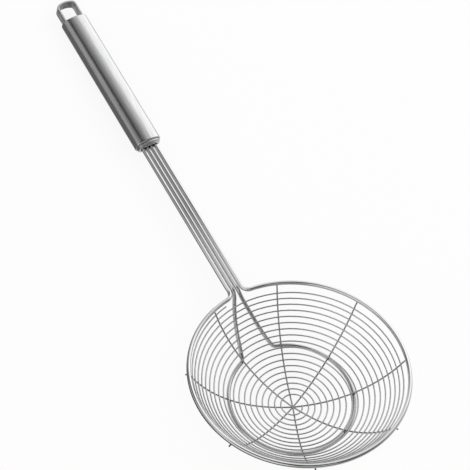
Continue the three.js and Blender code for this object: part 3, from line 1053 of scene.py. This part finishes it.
# Brightness of the tent that the metal mirrors: for each of its parts the axis along which it
# changes, and its greys from 0 against that axis to 1 with it.
TENT = {
    # From the left wall past the dark slit overhead to the right wall.
    "across": (
        (0.95, 0.05, -0.3),
        (
            (0.0, 0.22),
            (0.15, 0.3),
            (0.245, 0.33),
            (0.27, 0.27),
            (0.286, 0.0),
            (0.322, 0.0),
            (0.34, 0.12),
            (0.4, 0.16),
            (0.47, 0.28),
            (0.565, 0.47),
            (0.66, 0.6),
            (0.75, 0.67),
            (0.83, 0.74),
            (0.92, 0.74),
            (1.0, 0.76),
        ),
    ),
    # From the front to the back.
    "along": (
        (0.0, 1.0, 0.0),
        ((0.0, 0.02), (0.12, 0.02), (0.17, 0.18), (0.27, 0.2), (0.65, 1.0)),
    ),
    # The least that the right wall has of that.
    "right": ((1.0, 0.0, 0.0), ((0.65, 0.03), (0.88, 0.38))),
    # The dark patch on the camera's side.
    "patch": ((-0.35, -0.4, 0.85), ((0.8, 1.0), (0.855, 0.1))),
    # The lit left front.
    "left": ((-0.85, -0.2, 0.48), ((0.86, 0.0), (0.94, 1.0))),
    # The even low level of the front.
    "front": ((0.0, -1.0, 0.0), ((0.6, 0.0), (0.72, 0.24))),
}
DOME_TURNS = 48
DOME_BANDS = 16
DOME_RADIUS = 2.2

# Grey cards on the floor: two corners and a brightness.
FLAGS = {
    "left_flag": ((-0.6, -0.05), (-0.012, 0.5), 0.2),
    "bowl_flag": ((-0.6, -0.6), (-0.076, -0.05), 0.05),
}

# Card over the shaft: two corners, its height, and the y and the brightness at which it
# starts and stops fading towards the handle.
SHAFT_CARD = ((-0.16, -0.06), (0.03, 0.095))
SHAFT_CARD_HEIGHT = 0.2
SHAFT_CARD_FADE = (0.02, 0.085)
SHAFT_CARD_LEVEL = (1.0, 0.03)

# Place, aim, width and share of the key lamp's power.
LAMPS = {
    "key": ((0.95, 0.5, 0.55), (0.0, 0.05, 0.0), 0.9, 1.0),
    "top": ((-0.2, -0.75, 1.3), (0.0, -0.1, 0.0), 0.6, 0.5),
}

LENS = 108.09
SENSOR = 36.0
CLIP = (0.05, 20.0)
EYE = (-0.40174, -0.23783, 0.96379)
AHEAD = (0.40193, 0.20623, -0.89214)
RIGHT = (0.83349, -0.48582, 0.2632)


def card(name, low, high, material):
    """A level rectangle at the height of the table."""
    corners = [(low[0], low[1]), (high[0], low[1]), (high[0], high[1]), (low[0], high[1])]
    obj = mesh_object(name, [(x, y, 0.0) for x, y in corners], [], [(0, 1, 2, 3)])
    obj.data.materials.append(material)
    return obj


def dome(name, material):
    """Half a ball over the floor, open below."""
    verts, faces = [], []
    for band in range(DOME_BANDS + 1):
        tilt = math.pi / 2 * band / DOME_BANDS
        flat, high = DOME_RADIUS * math.cos(tilt), DOME_RADIUS * math.sin(tilt)
        for i in range(DOME_TURNS):
            a = 2 * math.pi * i / DOME_TURNS
            verts.append((flat * math.cos(a), flat * math.sin(a), high))
    for band in range(DOME_BANDS):
        low, top = band * DOME_TURNS, (band + 1) * DOME_TURNS
        for i in range(DOME_TURNS):
            j = (i + 1) % DOME_TURNS
            faces.append((low + i, top + i, top + j, low + j))
    obj = mesh_object(name, verts, [], faces)
    obj.data.materials.append(material)
    return obj


def bare_material(name):
    """A material with nothing in it but its output."""
    material = bpy.data.materials.new(name)
    material.use_nodes = True
    nodes, links = material.node_tree.nodes, material.node_tree.links
    nodes.clear()
    return material, nodes, links, nodes.new("ShaderNodeOutputMaterial")


def reckon(nodes, links, operation, first, second):
    """Output of one sum on two values, each of them a number or an output."""
    node = nodes.new("ShaderNodeMath")
    node.operation = operation
    feed(links, node.inputs[0], first)
    feed(links, node.inputs[1], second)
    return node.outputs["Value"]


def seen_share(nodes, links, share):
    """The share for camera, glossy and transmission rays, and 0 for others."""
    path = nodes.new("ShaderNodeLightPath")
    rays = [path.outputs[f"Is {kind} Ray"] for kind in ("Camera", "Glossy", "Transmission")]
    seen = reckon(nodes, links, "MAXIMUM", rays[0], rays[1])
    seen = reckon(nodes, links, "MAXIMUM", seen, rays[2])
    return reckon(nodes, links, "MULTIPLY", seen, share)


def pale_floor():
    """Pale floor that looks white and keeps the shadow of what lies on it."""
    material, nodes, links, out = bare_material("Pale floor")
    matt = nodes.new("ShaderNodeBsdfDiffuse")
    matt.inputs["Color"].default_value = (FLOOR_GREY, FLOOR_GREY, FLOOR_GREY, 1.0)
    white = nodes.new("ShaderNodeEmission")
    white.inputs["Color"].default_value = (1.0, 1.0, 1.0, 1.0)
    white.inputs["Strength"].default_value = 1.0
    mix = nodes.new("ShaderNodeMixShader")
    links.new(seen_share(nodes, links, FLOOR_WHITE), mix.inputs["Fac"])
    links.new(matt.outputs["BSDF"], mix.inputs[1])
    links.new(white.outputs["Emission"], mix.inputs[2])
    links.new(mix.outputs["Shader"], out.inputs["Surface"])
    return material


def ramp(nodes, links, unit, axis, levels):
    """Grey by how far a direction points along an axis, from 0 against it to 1 with it."""
    dot = nodes.new("ShaderNodeVectorMath")
    dot.operation = "DOT_PRODUCT"
    dot.inputs[1].default_value = axis
    links.new(unit, dot.inputs[0])
    shade = nodes.new("ShaderNodeValToRGB")
    stops = shade.color_ramp.elements
    stops.remove(stops[1])
    for index, (position, grey) in enumerate(levels):
        stop = stops.new(position) if index else stops[0]
        stop.position = position
        stop.color = (grey, grey, grey, 1.0)
    share = ranged(nodes, links, dot.outputs["Value"], (-1.0, 1.0), FULL_RANGE)
    links.new(share, shade.inputs["Fac"])
    return shade.outputs["Color"]


def shaded_tent(strength):
    """Glow of the tent by direction from the middle of the floor."""
    material, nodes, links, out = bare_material("Shaded tent")
    place = nodes.new("ShaderNodeTexCoord")
    unit = nodes.new("ShaderNodeVectorMath")
    unit.operation = "NORMALIZE"
    links.new(place.outputs["Object"], unit.inputs[0])
    grey = {part: ramp(nodes, links, unit.outputs["Vector"], *TENT[part]) for part in TENT}
    wall = reckon(nodes, links, "MAXIMUM", grey["along"], grey["right"])
    wall = reckon(nodes, links, "MULTIPLY", wall, strength)
    wall = reckon(nodes, links, "MULTIPLY", wall, grey["across"])
    wall = reckon(nodes, links, "MULTIPLY", wall, grey["patch"])
    wall = reckon(nodes, links, "MAXIMUM", wall, grey["left"])
    wall = reckon(nodes, links, "MAXIMUM", wall, grey["front"])
    glow = nodes.new("ShaderNodeEmission")
    links.new(wall, glow.inputs["Strength"])
    links.new(glow.outputs["Emission"], out.inputs["Surface"])
    return material


def flag_grey(name, level):
    material, nodes, links, out = bare_material(name)
    glow = nodes.new("ShaderNodeEmission")
    glow.inputs["Strength"].default_value = level
    links.new(glow.outputs["Emission"], out.inputs["Surface"])
    return material


def faded_card(name):
    """Glow that is lit towards the bowl and dark towards the handle."""
    material, nodes, links, out = bare_material(name)
    place = nodes.new("ShaderNodeTexCoord")
    split = nodes.new("ShaderNodeSeparateXYZ")
    glow = nodes.new("ShaderNodeEmission")
    links.new(place.outputs["Object"], split.inputs["Vector"])
    level = ranged(nodes, links, split.outputs["Y"], SHAFT_CARD_FADE, SHAFT_CARD_LEVEL)
    links.new(level, glow.inputs["Strength"])
    links.new(glow.outputs["Emission"], out.inputs["Surface"])
    return material


class SKIMMER_OT_studio(bpy.types.Operator):
    """Lay the floor, set up the tent, its cards and the lamps and place the camera"""

    bl_idname = "skimmer.studio"
    bl_label = "Studio"

    def execute(self, context):
        scene = context.scene
        studio = scene.skimmer_studio
        floor = card("floor", (-FLOOR_REACH,) * 2, (FLOOR_REACH,) * 2, pale_floor())
        floor.location.z = -FLOOR_DROP
        self.reflected_only(dome("flag_dome", shaded_tent(studio.tent)))
        for name, (low, high, level) in FLAGS.items():
            self.reflected_only(card(name, low, high, flag_grey(name, level)))
        over_shaft = card("shaft_card", *SHAFT_CARD, faded_card("shaft_card"))
        over_shaft.location.z = SHAFT_CARD_HEIGHT
        self.reflected_only(over_shaft)
        self.world(scene, studio.fill)
        for name, (place, aim, size, share) in LAMPS.items():
            self.lamp(name, place, aim, size, studio.key * share)
        self.camera(scene)
        scene.view_settings.view_transform = "Standard"
        return {"FINISHED"}

    def reflected_only(self, obj):
        """Seen in the metal, and neither by the camera nor by what it lights."""
        obj.visible_camera = False
        obj.visible_diffuse = False
        obj.visible_shadow = False

    def world(self, scene, fill):
        """White where it is seen, and of the given strength where it lights."""
        world = bpy.data.worlds.new("Pale room")
        scene.world = world
        world.use_nodes = True
        nodes, links = world.node_tree.nodes, world.node_tree.links
        nodes.clear()
        out = nodes.new("ShaderNodeOutputWorld")
        back = nodes.new("ShaderNodeBackground")
        back.inputs["Color"].default_value = (1.0, 1.0, 1.0, 1.0)
        seen = seen_share(nodes, links, 1.0 - fill)
        links.new(reckon(nodes, links, "ADD", seen, fill), back.inputs["Strength"])
        links.new(back.outputs["Background"], out.inputs["Surface"])

    def lamp(self, name, place, aim, size, power):
        light = bpy.data.lights.new(name, "AREA")
        light.shape = "SQUARE"
        light.size = size
        light.energy = power
        obj = new_object(name, light)
        obj.location = place
        obj.rotation_euler = (Vector(aim) - Vector(place)).to_track_quat("-Z", "Y").to_euler()

    def camera(self, scene):
        lens = bpy.data.cameras.new("camera")
        lens.sensor_width = SENSOR
        lens.lens = LENS
        lens.clip_start, lens.clip_end = CLIP
        obj = new_object("camera", lens)
        ahead, right = Vector(AHEAD).normalized(), Vector(RIGHT).normalized()
        turn = Matrix((right, right.cross(ahead), -ahead)).transposed()
        obj.matrix_world = Matrix.Translation(EYE) @ turn.to_4x4()
        scene.camera = obj


class SKIMMER_PT_sidebar(bpy.types.Panel):
    """Settings and steps of the skimmer"""

    bl_idname = "SKIMMER_PT_sidebar"
    bl_label = "Skimmer"
    bl_space_type = "VIEW_3D"
    bl_region_type = "UI"
    bl_category = "Skimmer"

    def draw(self, context):
        column = self.layout.column()
        for group in (context.scene.skimmer_looks, context.scene.skimmer_studio):
            for name in type(group).__annotations__:
                column.prop(group, name)
        for operator in STEPS:
            column.operator(operator.bl_idname)


STEPS = (
    SKIMMER_OT_frame,
    SKIMMER_OT_spiral,
    SKIMMER_OT_ribs,
    SKIMMER_OT_welds,
    SKIMMER_OT_tube,
    SKIMMER_OT_loop,
    SKIMMER_OT_inserts,
    SKIMMER_OT_studio,
)
CLASSES = (SkimmerLooks, SkimmerStudio, *STEPS, SKIMMER_PT_sidebar)


def register():
    for cls in CLASSES:
        bpy.utils.register_class(cls)
    bpy.types.Scene.skimmer_looks = bpy.props.PointerProperty(type=SkimmerLooks)
    bpy.types.Scene.skimmer_studio = bpy.props.PointerProperty(type=SkimmerStudio)


def unregister():
    del bpy.types.Scene.skimmer_studio
    del bpy.types.Scene.skimmer_looks
    for cls in reversed(CLASSES):
        bpy.utils.unregister_class(cls)


def main():
    register()
    bpy.ops.skimmer.frame()
    bpy.ops.skimmer.spiral()
    bpy.ops.skimmer.ribs()
    bpy.ops.skimmer.welds()
    bpy.ops.skimmer.tube()
    bpy.ops.skimmer.loop()
    bpy.ops.skimmer.inserts()
    bpy.ops.skimmer.studio()


if __name__ == "__main__":
    main()
